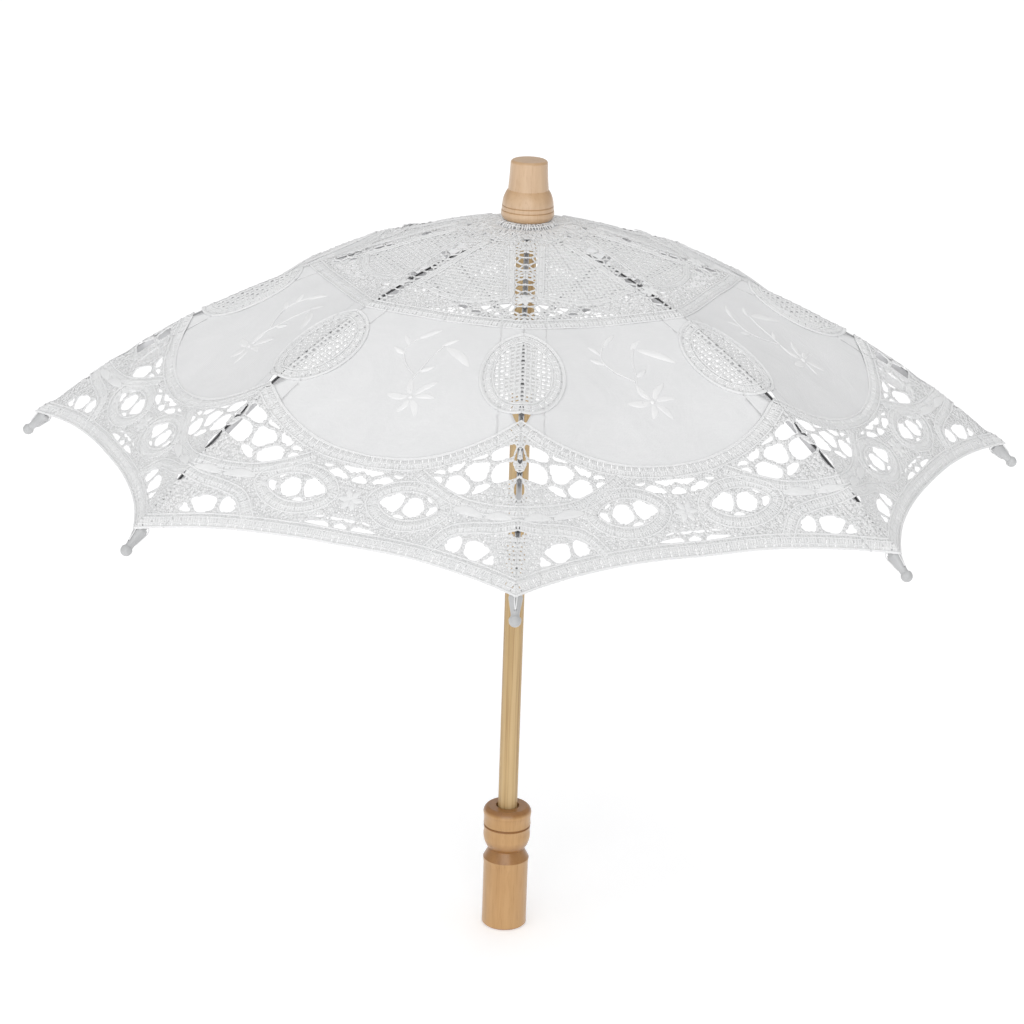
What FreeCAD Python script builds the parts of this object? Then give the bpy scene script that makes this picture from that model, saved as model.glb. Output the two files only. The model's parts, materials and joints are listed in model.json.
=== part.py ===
import FreeCAD
import Part
import os
from math import asin, atan2, cos, degrees, hypot, radians, sin, sqrt

# A small lace parasol, open, standing on the end of its handle.
# Frame: millimetres, +Z up along the shaft, origin at the centre of the handle's flat bottom end.
# Rib 1 points to -Y, and the ribs are numbered counter-clockwise seen from above.

Vector = FreeCAD.Vector

# Driving dimensions of the stick.
SHAFT_RADIUS = 4.5
SHAFT_BOTTOM = 22.0
SHAFT_TOP = 356.0
HANDLE_LENGTH = 60.5
FINIAL_BOTTOM = 341.9
OVERALL_HEIGHT = 368.4

# Driving dimensions of the frame, in the plane of one rib: radius from the shaft's axis, and height.
RIB_COUNT = 8
PIVOT_RADIUS = 8.0
NOTCH_PIVOT_Z = 337.2
RUNNER_PIVOT_Z = 293.5
TIP_RADIUS = 221.6
TIP_Z = 237.5
RIB_ARC_RADIUS = 384.0
JOINT_RADIUS = 68.0

# Sections of the frame's parts.
RIB_WIDTH = 2.3
RIB_WALL = 0.5
STRETCHER_WIDTH = 2.0
STRETCHER_WALL = 0.45
BLADE_THICKNESS = 1.0
BLADE_LENGTH = 4.8
EYE_RADIUS = 1.3
EYE_HOLE_RADIUS = 0.5
EYE_RELIEF_SLOPE = 26.0
WIRE_RADIUS = 0.4
RIVET_RADIUS = 0.5
LUG_INNER = 1.35
LUG_OUTER = 1.85
LUG_LENGTH = 9.0
BRIDGE_START = 6.8

# The notch and the runner.
HUB_RADIUS = 9.4
HUB_HALF_HEIGHT = 3.0
NOTCH_TOP = 340.4
SLOT_BOTTOM_RADIUS = 6.4
NOTCH_SLOT_WIDTH = 1.5
RUNNER_SLOT_WIDTH = 2.5
RUNNER_BORE_RADIUS = 4.6
SLEEVE_RADIUS = 6.2
SLEEVE_LENGTH = 30.0
RUNNER_FOOT_RADIUS = 7.6
RUNNER_FOOT_HEIGHT = 5.0

# The catch, which holds the runner up.
CATCH_AZIMUTH = 22.5
CATCH_WIDTH = 1.6
CATCH_SLOT_WIDTH = 2.2
CATCH_TOP = RUNNER_PIVOT_Z - SLEEVE_LENGTH - 0.4
CATCH_LENGTH = 30.0
CATCH_PROUD = 2.2
CATCH_LEAF = 1.2
CATCH_NOSE = 11.0
CATCH_EYE_RADIUS = 1.3
CATCH_PIN_RADIUS = 0.6
CATCH_PIN_HALF_LENGTH = 4.0
STOP_PIN_RADIUS = 0.75
STOP_PIN_HALF_LENGTH = 6.2
STOP_PIN_GAP = 0.4

# The canopy.
CANOPY_GAP = 0.35
CANOPY_THICKNESS = 0.9
SEAM_GAP = 0.3
CANOPY_INNER_RADIUS = 10.2
HEM_CORNER_RADIUS = 209.5
HEM_MIDDLE_RADIUS = 192.0

# The tip caps.
BALL_RADIUS = 2.4
CAP_NECK_RADIUS = 1.7
CAP_MOUTH_RADIUS = 2.8
CAP_LENGTH = 11.0
CAP_GRIP = 6.0

# Values worked out from the dimensions above.
STEP = 360.0 / RIB_COUNT
CHORD = hypot(TIP_RADIUS - PIVOT_RADIUS, NOTCH_PIVOT_Z - TIP_Z)
CHORD_SLOPE = atan2(NOTCH_PIVOT_Z - TIP_Z, TIP_RADIUS - PIVOT_RADIUS)
HALF_TURN = asin(CHORD / 2 / RIB_ARC_RADIUS)
CENTRE_DEPTH = RIB_ARC_RADIUS * cos(HALF_TURN)
ARC_X = (PIVOT_RADIUS + TIP_RADIUS) / 2 - CENTRE_DEPTH * sin(CHORD_SLOPE)
ARC_Z = (NOTCH_PIVOT_Z + TIP_Z) / 2 - CENTRE_DEPTH * cos(CHORD_SLOPE)
START_TURN = CHORD_SLOPE - HALF_TURN
END_TURN = CHORD_SLOPE + HALF_TURN
HALF_RIB = RIB_WIDTH / 2
JOINT_TURN = asin((JOINT_RADIUS - ARC_X) / RIB_ARC_RADIUS)
CAP_FLOOR_TURN = END_TURN - (CAP_LENGTH - CAP_GRIP) / RIB_ARC_RADIUS


def at_turn(turn, rise=0.0):
    """The point of the rib's plane at an angle along its arc, raised outward from the rib's middle line."""
    reach = RIB_ARC_RADIUS + rise
    return Vector(ARC_X + reach * sin(turn), 0, ARC_Z + reach * cos(turn))


def turn_at_radius(radius, rise=0.0):
    """The angle along the arc at which it is that far from the shaft's axis."""
    return asin((radius - ARC_X) / (RIB_ARC_RADIUS + rise))


NOTCH_PIVOT = Vector(PIVOT_RADIUS, 0, NOTCH_PIVOT_Z)
RUNNER_PIVOT = Vector(PIVOT_RADIUS, 0, RUNNER_PIVOT_Z)
JOINT = at_turn(JOINT_TURN)
STRETCHER_LENGTH = (RUNNER_PIVOT - JOINT).Length


def block(x0, x1, y0, y1, z0, z1):
    """A box between two corners."""
    return Part.makeBox(x1 - x0, y1 - y0, z1 - z0, Vector(x0, y0, z0))


def turned(points):
    """A body turned about the Z axis from (radius, height) points, where a third value bulges a side."""
    edges = []
    for start, end in zip(points, points[1:] + points[:1]):
        a = Vector(start[0], 0, start[1])
        b = Vector(end[0], 0, end[1])
        if len(start) == 3:
            side = (b - a).cross(Vector(0, 1, 0)).normalize()
            edges.append(Part.Arc(a, (a + b) * 0.5 + side * start[2], b).toShape())
        else:
            edges.append(Part.LineSegment(a, b).toShape())
    face = Part.Face(Part.Wire(edges))
    return face.revolve(Vector(0, 0, 0), Vector(0, 0, 1), 360)


def cross_pin(centre, radius, half_length):
    """A cylinder across the rib's plane."""
    return Part.makeCylinder(radius, 2 * half_length, centre - Vector(0, half_length, 0), Vector(0, 1, 0))


def arc_bar(start, end, low, high, half_width):
    """A bar along the rib's arc, from low to high across it and half_width to each side."""
    corners = [
        at_turn(start, low) - Vector(0, half_width, 0),
        at_turn(start, low) + Vector(0, half_width, 0),
        at_turn(start, high) + Vector(0, half_width, 0),
        at_turn(start, high) - Vector(0, half_width, 0),
    ]
    face = Part.Face(Part.makePolygon(corners + corners[:1]))
    return face.revolve(Vector(ARC_X, 0, ARC_Z), Vector(0, 1, 0), degrees(end - start))


def around(shape, number):
    """A shape made in the plane of azimuth 0, moved to the rib of that number."""
    placed = shape.copy()
    placed.rotate(Vector(0, 0, 0), Vector(0, 0, 1), -90 + STEP * (number - 1))
    return placed


def make_handle():
    """A turned handle: straight grip, flared ring, V waist, bowl and a grooved knob round the shaft."""
    body = turned(
        [
            (0, 0),
            (9.7, 0),
            (10.5, 0.8),
            (10.5, 31.0),
            (10.8, 34.2),
            (8.3, 38.9, -0.9),
            (10.95, 47.2, 0.15),
            (11.0, 50.4),
            (10.5, 51.0),
            (11.1, 51.6, 0.25),
            (11.3, 57.2, -0.6),
            (9.2, HANDLE_LENGTH),
            (0, HANDLE_LENGTH),
        ]
    )
    socket = Part.makeCylinder(SHAFT_RADIUS, HANDLE_LENGTH, Vector(0, 0, SHAFT_BOTTOM))
    mouth = Part.makeCylinder(5.5, 5.0, Vector(0, 0, HANDLE_LENGTH - 4.0))
    return body.cut(socket).cut(mouth)


def catch_frame(shape):
    """A shape made towards +X, moved to the catch's azimuth."""
    placed = shape.copy()
    placed.rotate(Vector(0, 0, 0), Vector(0, 0, 1), CATCH_AZIMUTH)
    return placed


def stop_pin_centre_z():
    """The height of the pin that the runner stops under."""
    return RUNNER_PIVOT_Z + HUB_HALF_HEIGHT + STOP_PIN_GAP + STOP_PIN_RADIUS


def make_stop_pin():
    """A pin through the shaft, just above the raised runner."""
    return catch_frame(cross_pin(Vector(0, 0, stop_pin_centre_z()), STOP_PIN_RADIUS, STOP_PIN_HALF_LENGTH))


def catch_pivot():
    """The middle of the catch's pin, before the catch is turned to its azimuth."""
    return Vector(SHAFT_RADIUS - 2.9, 0, CATCH_TOP - CATCH_LENGTH)


def make_catch_pin():
    """The pin across the shaft that the foot of the catch turns on."""
    return catch_frame(cross_pin(catch_pivot(), CATCH_PIN_RADIUS, CATCH_PIN_HALF_LENGTH))


def make_shaft():
    """A straight round stick with a slot for the catch and holes for the two pins."""
    stick = Part.makeCylinder(SHAFT_RADIUS, SHAFT_TOP - SHAFT_BOTTOM, Vector(0, 0, SHAFT_BOTTOM))
    half = CATCH_SLOT_WIDTH / 2
    slot_floor = CATCH_TOP - CATCH_LENGTH - CATCH_EYE_RADIUS - 0.4
    slot = block(-2.6, SHAFT_RADIUS + 1, -half, half, slot_floor, CATCH_TOP + 0.3)
    return stick.cut(catch_frame(slot)).cut(make_stop_pin()).cut(make_catch_pin())


def make_finial():
    """A turned finial: a tapered grip on a wide base with two thin grooves."""
    body = turned(
        [
            (0, FINIAL_BOTTOM),
            (9.9, FINIAL_BOTTOM),
            (10.6, 342.3, -0.2),
            (11.75, 344.4, -0.05),
            (11.6, 346.0),
            (11.25, 346.25),
            (11.5, 346.5),
            (11.4, 348.0),
            (11.05, 348.25),
            (11.3, 348.5, -0.55),
            (8.95, 355.4, 0.1),
            (8.2, 366.9, -0.35),
            (7.0, OVERALL_HEIGHT),
            (0, OVERALL_HEIGHT),
        ]
    )
    return body.cut(Part.makeCylinder(SHAFT_RADIUS, SHAFT_TOP - FINIAL_BOTTOM, Vector(0, 0, FINIAL_BOTTOM)))


def make_crown_washer():
    """The stiffened disc that clamps the gathered lace between the finial and the notch."""
    disc = Part.makeCylinder(HUB_RADIUS, FINIAL_BOTTOM - NOTCH_TOP, Vector(0, 0, NOTCH_TOP))
    return disc.cut(Part.makeCylinder(SHAFT_RADIUS, FINIAL_BOTTOM - NOTCH_TOP, Vector(0, 0, NOTCH_TOP)))


def slotted(hub, pivot_z, low, high, slot_width):
    """A hub with a slot for each rib or stretcher and a groove for the wire that they turn on."""
    half = slot_width / 2
    for number in range(1, RIB_COUNT + 1):
        slot = block(SLOT_BOTTOM_RADIUS, HUB_RADIUS + 1, -half, half, low, high)
        hub = hub.cut(around(slot, number))
    groove_height = 2 * WIRE_RADIUS
    groove_floor = PIVOT_RADIUS - WIRE_RADIUS
    ring = Part.makeCylinder(HUB_RADIUS + 1, groove_height, Vector(0, 0, pivot_z - WIRE_RADIUS))
    core = Part.makeCylinder(groove_floor, groove_height, Vector(0, 0, pivot_z - WIRE_RADIUS))
    return hub.cut(ring.cut(core))


def make_wire(pivot_z):
    """A closed ring of wire."""
    return Part.makeTorus(PIVOT_RADIUS, WIRE_RADIUS, Vector(0, 0, pivot_z))


def make_top_notch():
    """The fixed hub at the top of the shaft, where the ribs hinge."""
    bottom = NOTCH_PIVOT_Z - HUB_HALF_HEIGHT
    hub = Part.makeCylinder(HUB_RADIUS, NOTCH_TOP - bottom, Vector(0, 0, bottom))
    hub = slotted(hub, NOTCH_PIVOT_Z, bottom - 1, NOTCH_PIVOT_Z + EYE_RADIUS + 0.4, NOTCH_SLOT_WIDTH)
    return hub.cut(Part.makeCylinder(SHAFT_RADIUS, NOTCH_TOP, Vector(0, 0, 0)))


def make_runner():
    """The hub that slides on the shaft: a slotted crown on a thin sleeve with a foot."""
    low = RUNNER_PIVOT_Z - HUB_HALF_HEIGHT
    high = RUNNER_PIVOT_Z + HUB_HALF_HEIGHT
    bottom = RUNNER_PIVOT_Z - SLEEVE_LENGTH
    crown = Part.makeCylinder(HUB_RADIUS, high - low, Vector(0, 0, low))
    crown = slotted(crown, RUNNER_PIVOT_Z, low - 1, high + 1, RUNNER_SLOT_WIDTH)
    sleeve = turned(
        [
            (0, bottom),
            (RUNNER_FOOT_RADIUS - 0.6, bottom),
            (RUNNER_FOOT_RADIUS, bottom + 0.6),
            (RUNNER_FOOT_RADIUS, bottom + RUNNER_FOOT_HEIGHT),
            (SLEEVE_RADIUS, bottom + RUNNER_FOOT_HEIGHT + 1.4),
            (SLEEVE_RADIUS, high),
            (0, high),
        ]
    )
    bore = Part.makeCylinder(RUNNER_BORE_RADIUS, SLEEVE_LENGTH + 10, Vector(0, 0, bottom - 1))
    return crown.fuse(sleeve).cut(bore).removeSplitter()


def make_catch_spring():
    """A bent leaf in the shaft's slot, whose nose stands out under the raised runner."""
    pivot = catch_pivot()
    nose = SHAFT_RADIUS + CATCH_PROUD
    points = [
        pivot - Vector(CATCH_LEAF / 2, 0, 0),
        pivot + Vector(CATCH_LEAF / 2, 0, 0),
        Vector(SHAFT_RADIUS - 0.3, 0, CATCH_TOP - CATCH_NOSE),
        Vector(nose, 0, CATCH_TOP - 1.5),
        Vector(nose - 0.4, 0, CATCH_TOP),
        Vector(nose - 3.2, 0, CATCH_TOP),
        Vector(nose - 3.2, 0, CATCH_TOP - 1.8),
        Vector(SHAFT_RADIUS - 0.3 - CATCH_LEAF, 0, CATCH_TOP - CATCH_NOSE - 1),
    ]
    face = Part.Face(Part.makePolygon(points + points[:1]))
    face.translate(Vector(0, -CATCH_WIDTH / 2, 0))
    leaf = face.extrude(Vector(0, CATCH_WIDTH, 0))
    leaf = leaf.fuse(cross_pin(pivot, CATCH_EYE_RADIUS, CATCH_WIDTH / 2))
    leaf = leaf.cut(cross_pin(pivot, CATCH_PIN_RADIUS + 0.05, CATCH_WIDTH))
    return catch_frame(leaf.removeSplitter())


def make_rib():
    """A fluted steel rib: a channel bent to an arc, with a flat eye that turns on the notch wire."""
    channel_start = START_TURN + BLADE_LENGTH / RIB_ARC_RADIUS
    solid_end = channel_start + RIB_WIDTH / RIB_ARC_RADIUS
    bar = arc_bar(channel_start, CAP_FLOOR_TURN, -HALF_RIB, HALF_RIB, HALF_RIB)
    flute_half = HALF_RIB - RIB_WALL
    bar = bar.cut(arc_bar(solid_end, END_TURN + 0.02, RIB_WALL - HALF_RIB, HALF_RIB + 1, flute_half))
    blade = arc_bar(START_TURN, solid_end, -HALF_RIB, HALF_RIB, BLADE_THICKNESS / 2)
    eye = cross_pin(NOTCH_PIVOT, EYE_RADIUS, BLADE_THICKNESS / 2)
    rib = bar.fuse(blade).fuse(eye)
    rib = rib.cut(cross_pin(NOTCH_PIVOT, EYE_HOLE_RADIUS, BLADE_THICKNESS))
    return rib.cut(cross_pin(JOINT, RIVET_RADIUS, RIB_WIDTH)).removeSplitter()


def make_joint_rivet():
    """The rivet through the rib and the two lugs of the stretcher."""
    head = 0.4
    gap = 0.15
    pin = cross_pin(JOINT, RIVET_RADIUS, LUG_OUTER + gap + head)
    heads = cross_pin(JOINT, 2 * RIVET_RADIUS, LUG_OUTER + gap + head)
    heads = heads.cut(cross_pin(JOINT, 3 * RIVET_RADIUS, LUG_OUTER + gap))
    return pin.fuse(heads)


def make_stretcher():
    """A channel strut with a fork at the rib and an open eye at the runner, made along +X from the fork."""
    length = STRETCHER_LENGTH
    half = STRETCHER_WIDTH / 2
    solid_start = length - BLADE_LENGTH - 1.7
    fork = block(0, LUG_LENGTH, -LUG_OUTER, LUG_OUTER, -1.1, 1.1)
    fork = fork.fuse(cross_pin(Vector(0, 0, 0), EYE_RADIUS, LUG_OUTER))
    fork = fork.cut(block(-3, BRIDGE_START, -LUG_INNER, LUG_INNER, -3, 3))
    fork = fork.cut(cross_pin(Vector(0, 0, 0), RIVET_RADIUS + 0.1, 3))
    bar = block(LUG_LENGTH - 1, length - BLADE_LENGTH, -half, half, -half, half)
    flute = half - STRETCHER_WALL
    bar = bar.cut(block(LUG_LENGTH, solid_start, -flute, flute, STRETCHER_WALL - half, half + 1))
    blade_half = BLADE_THICKNESS / 2
    blade = block(solid_start, length, -blade_half, blade_half, -0.9, 0.9)
    blade = blade.fuse(cross_pin(Vector(length, 0, 0), EYE_RADIUS, blade_half))
    strut = fork.fuse(bar).fuse(blade)
    strut = strut.cut(cross_pin(Vector(length, 0, 0), EYE_HOLE_RADIUS, BLADE_THICKNESS))
    mouth = block(length - 1.4, length + 0.55, -half, half, -EYE_RADIUS - 1, 0)
    relief = block(-5, 0, -half, half, -0.5, 0.5)
    relief.rotate(Vector(0, 0, 0), Vector(0, 1, 0), -EYE_RELIEF_SLOPE)
    relief.translate(Vector(length, 0, 0))
    strut = strut.cut(mouth).cut(relief).removeSplitter()
    to_runner = RUNNER_PIVOT - JOINT
    strut.rotate(Vector(0, 0, 0), Vector(0, 1, 0), degrees(atan2(-to_runner.z, to_runner.x)))
    strut.translate(JOINT)
    return strut


def make_tip_cap():
    """A ball-ended cap on the rib's outer end, made along +X with the ball at the origin."""
    body = turned(
        [
            (0, -BALL_RADIUS, -BALL_RADIUS * (1 - sqrt(0.5))),
            (BALL_RADIUS, 0, -BALL_RADIUS * 0.12),
            (CAP_NECK_RADIUS, sqrt(BALL_RADIUS**2 - CAP_NECK_RADIUS**2)),
            (CAP_NECK_RADIUS, 3.0),
            (CAP_MOUTH_RADIUS, CAP_LENGTH - 1.2),
            (CAP_MOUTH_RADIUS - 0.3, CAP_LENGTH),
            (0, CAP_LENGTH),
        ]
    )
    eyelet = Part.makeCylinder(0.55, 8, Vector(-4, 0, 4.0), Vector(1, 0, 0))
    body = body.cut(eyelet)
    body.rotate(Vector(0, 0, 0), Vector(0, 1, 0), degrees(END_TURN) - 90)
    body.translate(at_turn(END_TURN))
    mouth_turn = END_TURN - (CAP_LENGTH + 2) / RIB_ARC_RADIUS
    return body.cut(arc_bar(mouth_turn, CAP_FLOOR_TURN, -HALF_RIB, HALF_RIB, HALF_RIB))


def canopy_curve(rise):
    """The canopy's curve midway between two ribs, at that height over the ribs' middle line."""
    squash = cos(radians(STEP / 2))
    first = turn_at_radius(CANOPY_INNER_RADIUS - 2, rise)
    last = turn_at_radius(HEM_CORNER_RADIUS + 3, rise)
    count = 9
    points = []
    for i in range(count):
        point = at_turn(first + (last - first) * i / (count - 1), rise)
        points.append(Vector(point.x * squash, 0, point.z))
    curve = Part.BSplineCurve()
    curve.interpolate(points)
    return curve.toShape(), points[0], points[-1]


def make_canopy_gore():
    """One whole gore, straight between two ribs and scalloped at the hem, midway at azimuth 0."""
    low_edge, low_first, low_last = canopy_curve(HALF_RIB + CANOPY_GAP)
    high_edge, high_first, high_last = canopy_curve(HALF_RIB + CANOPY_GAP + CANOPY_THICKNESS)
    outer_end = Part.LineSegment(low_last, high_last).toShape()
    inner_end = Part.LineSegment(high_first, low_first).toShape()
    band = Part.Face(Part.Wire([low_edge, outer_end, high_edge, inner_end]))
    reach = HEM_CORNER_RADIUS
    band.translate(Vector(0, -reach / 2, 0))
    sheet = band.extrude(Vector(0, reach, 0))
    turn = radians(STEP / 2)
    left = Vector(reach * cos(turn), -reach * sin(turn), 0)
    right = Vector(reach * cos(turn), reach * sin(turn), 0)
    hem = Part.Arc(left, Vector(HEM_MIDDLE_RADIUS, 0, 0), right).toShape()
    centre = Vector(0, 0, 0)
    sides = [Part.LineSegment(right, centre).toShape(), Part.LineSegment(centre, left).toShape()]
    plan = Part.Face(Part.Wire([hem] + sides)).extrude(Vector(0, 0, OVERALL_HEIGHT))
    return sheet.common(plan).cut(Part.makeCylinder(CANOPY_INNER_RADIUS, OVERALL_HEIGHT))


def make_canopy_half(gore, side):
    """The half of a gore beside its rib, on the side +1 or -1 of its middle, clear of both seams."""
    turn = radians(STEP / 2)
    seam = Vector(0, side * SEAM_GAP, 0)
    inset = Vector(sin(turn), -side * cos(turn), 0) * SEAM_GAP
    reach = 2 * HEM_CORNER_RADIUS
    along_rib = Vector(cos(turn), side * sin(turn), 0) * reach
    start = Vector(SEAM_GAP / sin(turn) * 1.5, side * SEAM_GAP, 0)
    corners = [start, Vector(reach, 0, 0) + seam, along_rib + inset]
    wedge = Part.Face(Part.makePolygon(corners + corners[:1])).extrude(Vector(0, 0, OVERALL_HEIGHT))
    half = gore.common(wedge)
    half.rotate(Vector(0, 0, 0), Vector(0, 0, 1), -side * STEP / 2)
    return half


def write(name, shape):
    """Writes one piece to its own file."""
    if len(shape.Solids) == 1:
        shape = shape.Solids[0]
    print(name, shape.ShapeType, len(shape.Solids), round(shape.Volume, 1), shape.isValid())
    shape.exportStep("parts/" + name + ".step")


os.makedirs("parts", exist_ok=True)

write("handle", make_handle())
write("shaft", make_shaft())
write("finial", make_finial())
write("crown_washer", make_crown_washer())
write("top_notch", make_top_notch())
write("notch_wire", make_wire(NOTCH_PIVOT_Z))
write("stop_pin", make_stop_pin())
write("catch_spring", make_catch_spring())
write("catch_pin", make_catch_pin())
write("runner", make_runner())
write("runner_wire", make_wire(RUNNER_PIVOT_Z))

gore = make_canopy_gore()
pieces = {
    "rib": make_rib(),
    "joint_rivet": make_joint_rivet(),
    "stretcher": make_stretcher(),
    "tip_cap": make_tip_cap(),
    "canopy_left": make_canopy_half(gore, 1),
    "canopy_right": make_canopy_half(gore, -1),
}
for name, piece in pieces.items():
    for number in range(1, RIB_COUNT + 1):
        write(name + "_" + str(number), around(piece, number))
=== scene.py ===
import json
import math

import bmesh
import bpy
import numpy as np
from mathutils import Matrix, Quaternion, Vector
from mathutils.geometry import delaunay_2d_cdt


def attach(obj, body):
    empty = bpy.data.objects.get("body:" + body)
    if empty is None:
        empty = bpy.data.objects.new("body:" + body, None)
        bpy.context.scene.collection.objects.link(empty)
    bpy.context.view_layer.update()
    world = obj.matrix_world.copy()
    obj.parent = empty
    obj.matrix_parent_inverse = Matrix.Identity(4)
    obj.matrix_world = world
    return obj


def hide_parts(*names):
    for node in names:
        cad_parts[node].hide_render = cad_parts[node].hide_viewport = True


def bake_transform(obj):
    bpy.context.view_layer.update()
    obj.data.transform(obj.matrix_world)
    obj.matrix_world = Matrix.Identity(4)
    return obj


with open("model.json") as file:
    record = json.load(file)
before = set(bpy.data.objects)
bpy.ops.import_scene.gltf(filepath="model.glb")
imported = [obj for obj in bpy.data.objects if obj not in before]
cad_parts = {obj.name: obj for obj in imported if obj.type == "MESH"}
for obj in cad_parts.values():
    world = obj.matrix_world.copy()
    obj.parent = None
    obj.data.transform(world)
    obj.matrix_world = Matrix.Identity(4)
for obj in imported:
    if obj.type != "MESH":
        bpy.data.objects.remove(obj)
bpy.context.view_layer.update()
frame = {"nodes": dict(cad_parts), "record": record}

MM = 0.001
RIBS = 8
HALF_STEP = math.pi / RIBS
FIRST_RIB = math.radians(-90)
SEED = 11

# The camera, as fitted to the photograph, and the floor's half width, in metres.
CAMERA_ELEVATION = math.radians(18.85)
CAMERA_ROLL = math.radians(1.90)
CAMERA_AIM = (-0.0025, 0.0, 0.2057)
CAMERA_DISTANCE = 1.3643
CAMERA_LENS = 105.65
FLOOR_REACH = 12.0

# The rib's arc, in the plane of a rib, in millimetres: radius from the shaft's axis, and height.
ARC_X, ARC_Z = -39.775, -43.816
RIB_ARC = 384.0
END_TURN = math.radians(42.905)
LACE_RISE = 1.95

# The lace pattern of half a gore, in millimetres: s runs down the gore's middle, y across it.
INNER_S = 3.6
HEM_MIDDLE = 208.4
HEM_DROP = 11.1
HEM_CORNER_Y = 82.7
HEM_POWER = 2.6
PAST_RIB = -1.5
BORDER_S = 82.3
ROUNDEL_S = 111.0
ROUNDEL_HALF = (24.0, 17.4)
ROUNDEL_TAPE = 5.4
RIB_STRIP = 6.4
SAG = 3.6

# The strip of lace beside the rib: its width square to the rib, and across the gore.
STRIP_WIDTH = 9.4
STRIP_ACROSS = STRIP_WIDTH / math.cos(HALF_STEP)


# ---- materials


class Paint:
    """A node material, with short ways to add the nodes that the materials here share."""

    def __init__(self, name, **sockets):
        self.material = bpy.data.materials.new(name)
        self.material.use_nodes = True
        self.shader = self.material.node_tree.nodes["Principled BSDF"]
        self.fill(self.shader, sockets)

    def fill(self, node, sockets):
        """Each socket, named with underscores for spaces, takes a constant or another node's output."""
        for key, value in sockets.items():
            self.put(node.inputs[key.replace("_", " ")], value)

    def put(self, socket, value):
        if isinstance(value, bpy.types.NodeSocket):
            self.material.node_tree.links.new(value, socket)
        else:
            socket.default_value = value

    def node(self, kind, **sockets):
        node = self.material.node_tree.nodes.new("ShaderNode" + kind)
        self.fill(node, sockets)
        return node

    def where(self, scale=(1, 1, 1)):
        """Object coordinates scaled along each axis."""
        base = self.node("TexCoord").outputs["Object"]
        return self.node("Mapping", Vector=base, Scale=scale).outputs["Vector"]

    def on_cloth(self, scale=(1, 1, 1)):
        """Coordinates in metres of the flat cloth, scaled along each axis."""
        base = self.node("UVMap")
        base.uv_map = "flat"
        return self.node("Mapping", Vector=base.outputs["UV"], Scale=scale).outputs["Vector"]

    def noise(self, where, scale, detail=3.0, rough=0.5, distortion=0.0):
        return self.node("TexNoise", Vector=where, Scale=scale, Detail=detail, Roughness=rough,
                         Distortion=distortion).outputs["Fac"]

    def wave(self, where, scale, direction, distortion, detail, detail_scale):
        node = self.node("TexWave", Vector=where, Scale=scale, Distortion=distortion, Detail=detail,
                         Detail_Scale=detail_scale)
        node.bands_direction = direction
        return node.outputs["Fac"]

    def ramp(self, value, stops):
        node = self.node("ValToRGB", Fac=value)
        elements = node.color_ramp.elements
        while len(elements) < len(stops):
            elements.new(0.5)
        for element, (place, colour) in zip(elements, stops):
            element.position = place
            element.color = (*colour, 1)
        return node.outputs["Color"]

    def span(self, value, low, high):
        """The value, 0 to 1, moved to run from low to high."""
        return self.node("MapRange", Value=value, To_Min=low, To_Max=high).outputs["Result"]

    def math(self, operation, a, b):
        node = self.node("Math")
        node.operation = operation
        self.put(node.inputs[0], a)
        self.put(node.inputs[1], b)
        return node.outputs[0]

    def mixed(self, a, share, b):
        """Share of a and the rest of b, added up."""
        return self.math("ADD", self.math("MULTIPLY", a, share), self.math("MULTIPLY", b, 1 - share))

    def mix(self, factor, a, b, blend="MIX"):
        node = self.node("Mix")
        node.data_type = "RGBA"
        node.blend_type = blend
        for number, value in ((0, factor), (6, a), (7, b)):
            self.put(node.inputs[number], (*value, 1) if isinstance(value, tuple) else value)
        return node.outputs[2]

    def bump(self, height, distance, strength=1.0):
        node = self.node("Bump", Height=height, Distance=distance, Strength=strength)
        self.put(self.shader.inputs["Normal"], node.outputs["Normal"])

    def finish(self, colour, roughness):
        self.fill(self.shader, {"Base Color": colour, "Roughness": roughness})


def bamboo():
    """Straight-grained cane: long pale fibres with thin brown lines."""
    p = Paint("bamboo", Specular_IOR_Level=0.45, Coat_Weight=0.12, Coat_Roughness=0.3)
    fibres = p.noise(p.where((1, 1, 0.012)), 900, 4, 0.6)
    broad = p.noise(p.where((1, 1, 0.03)), 260, 3, 0.55)
    slow = p.noise(p.where((1, 1, 0.5)), 18, 2)
    pale = p.ramp(broad, [(0.25, (0.414, 0.268, 0.114)), (0.5, (0.546, 0.378, 0.180)),
                          (0.75, (0.634, 0.466, 0.255))])
    lines = p.ramp(fibres, [(0.34, (0.60, 0.47, 0.33)), (0.50, (1.0, 1.0, 1.0)), (1.0, (1.06, 1.05, 1.02))])
    toned = p.mix(0.85, pale, lines, "MULTIPLY")
    p.finish(p.mix(p.span(slow, 0.0, 0.35), toned, (0.484, 0.326, 0.150)), p.span(broad, 0.36, 0.52))
    p.bump(p.math("ADD", fibres, broad), 0.00012)
    return p.material


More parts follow.
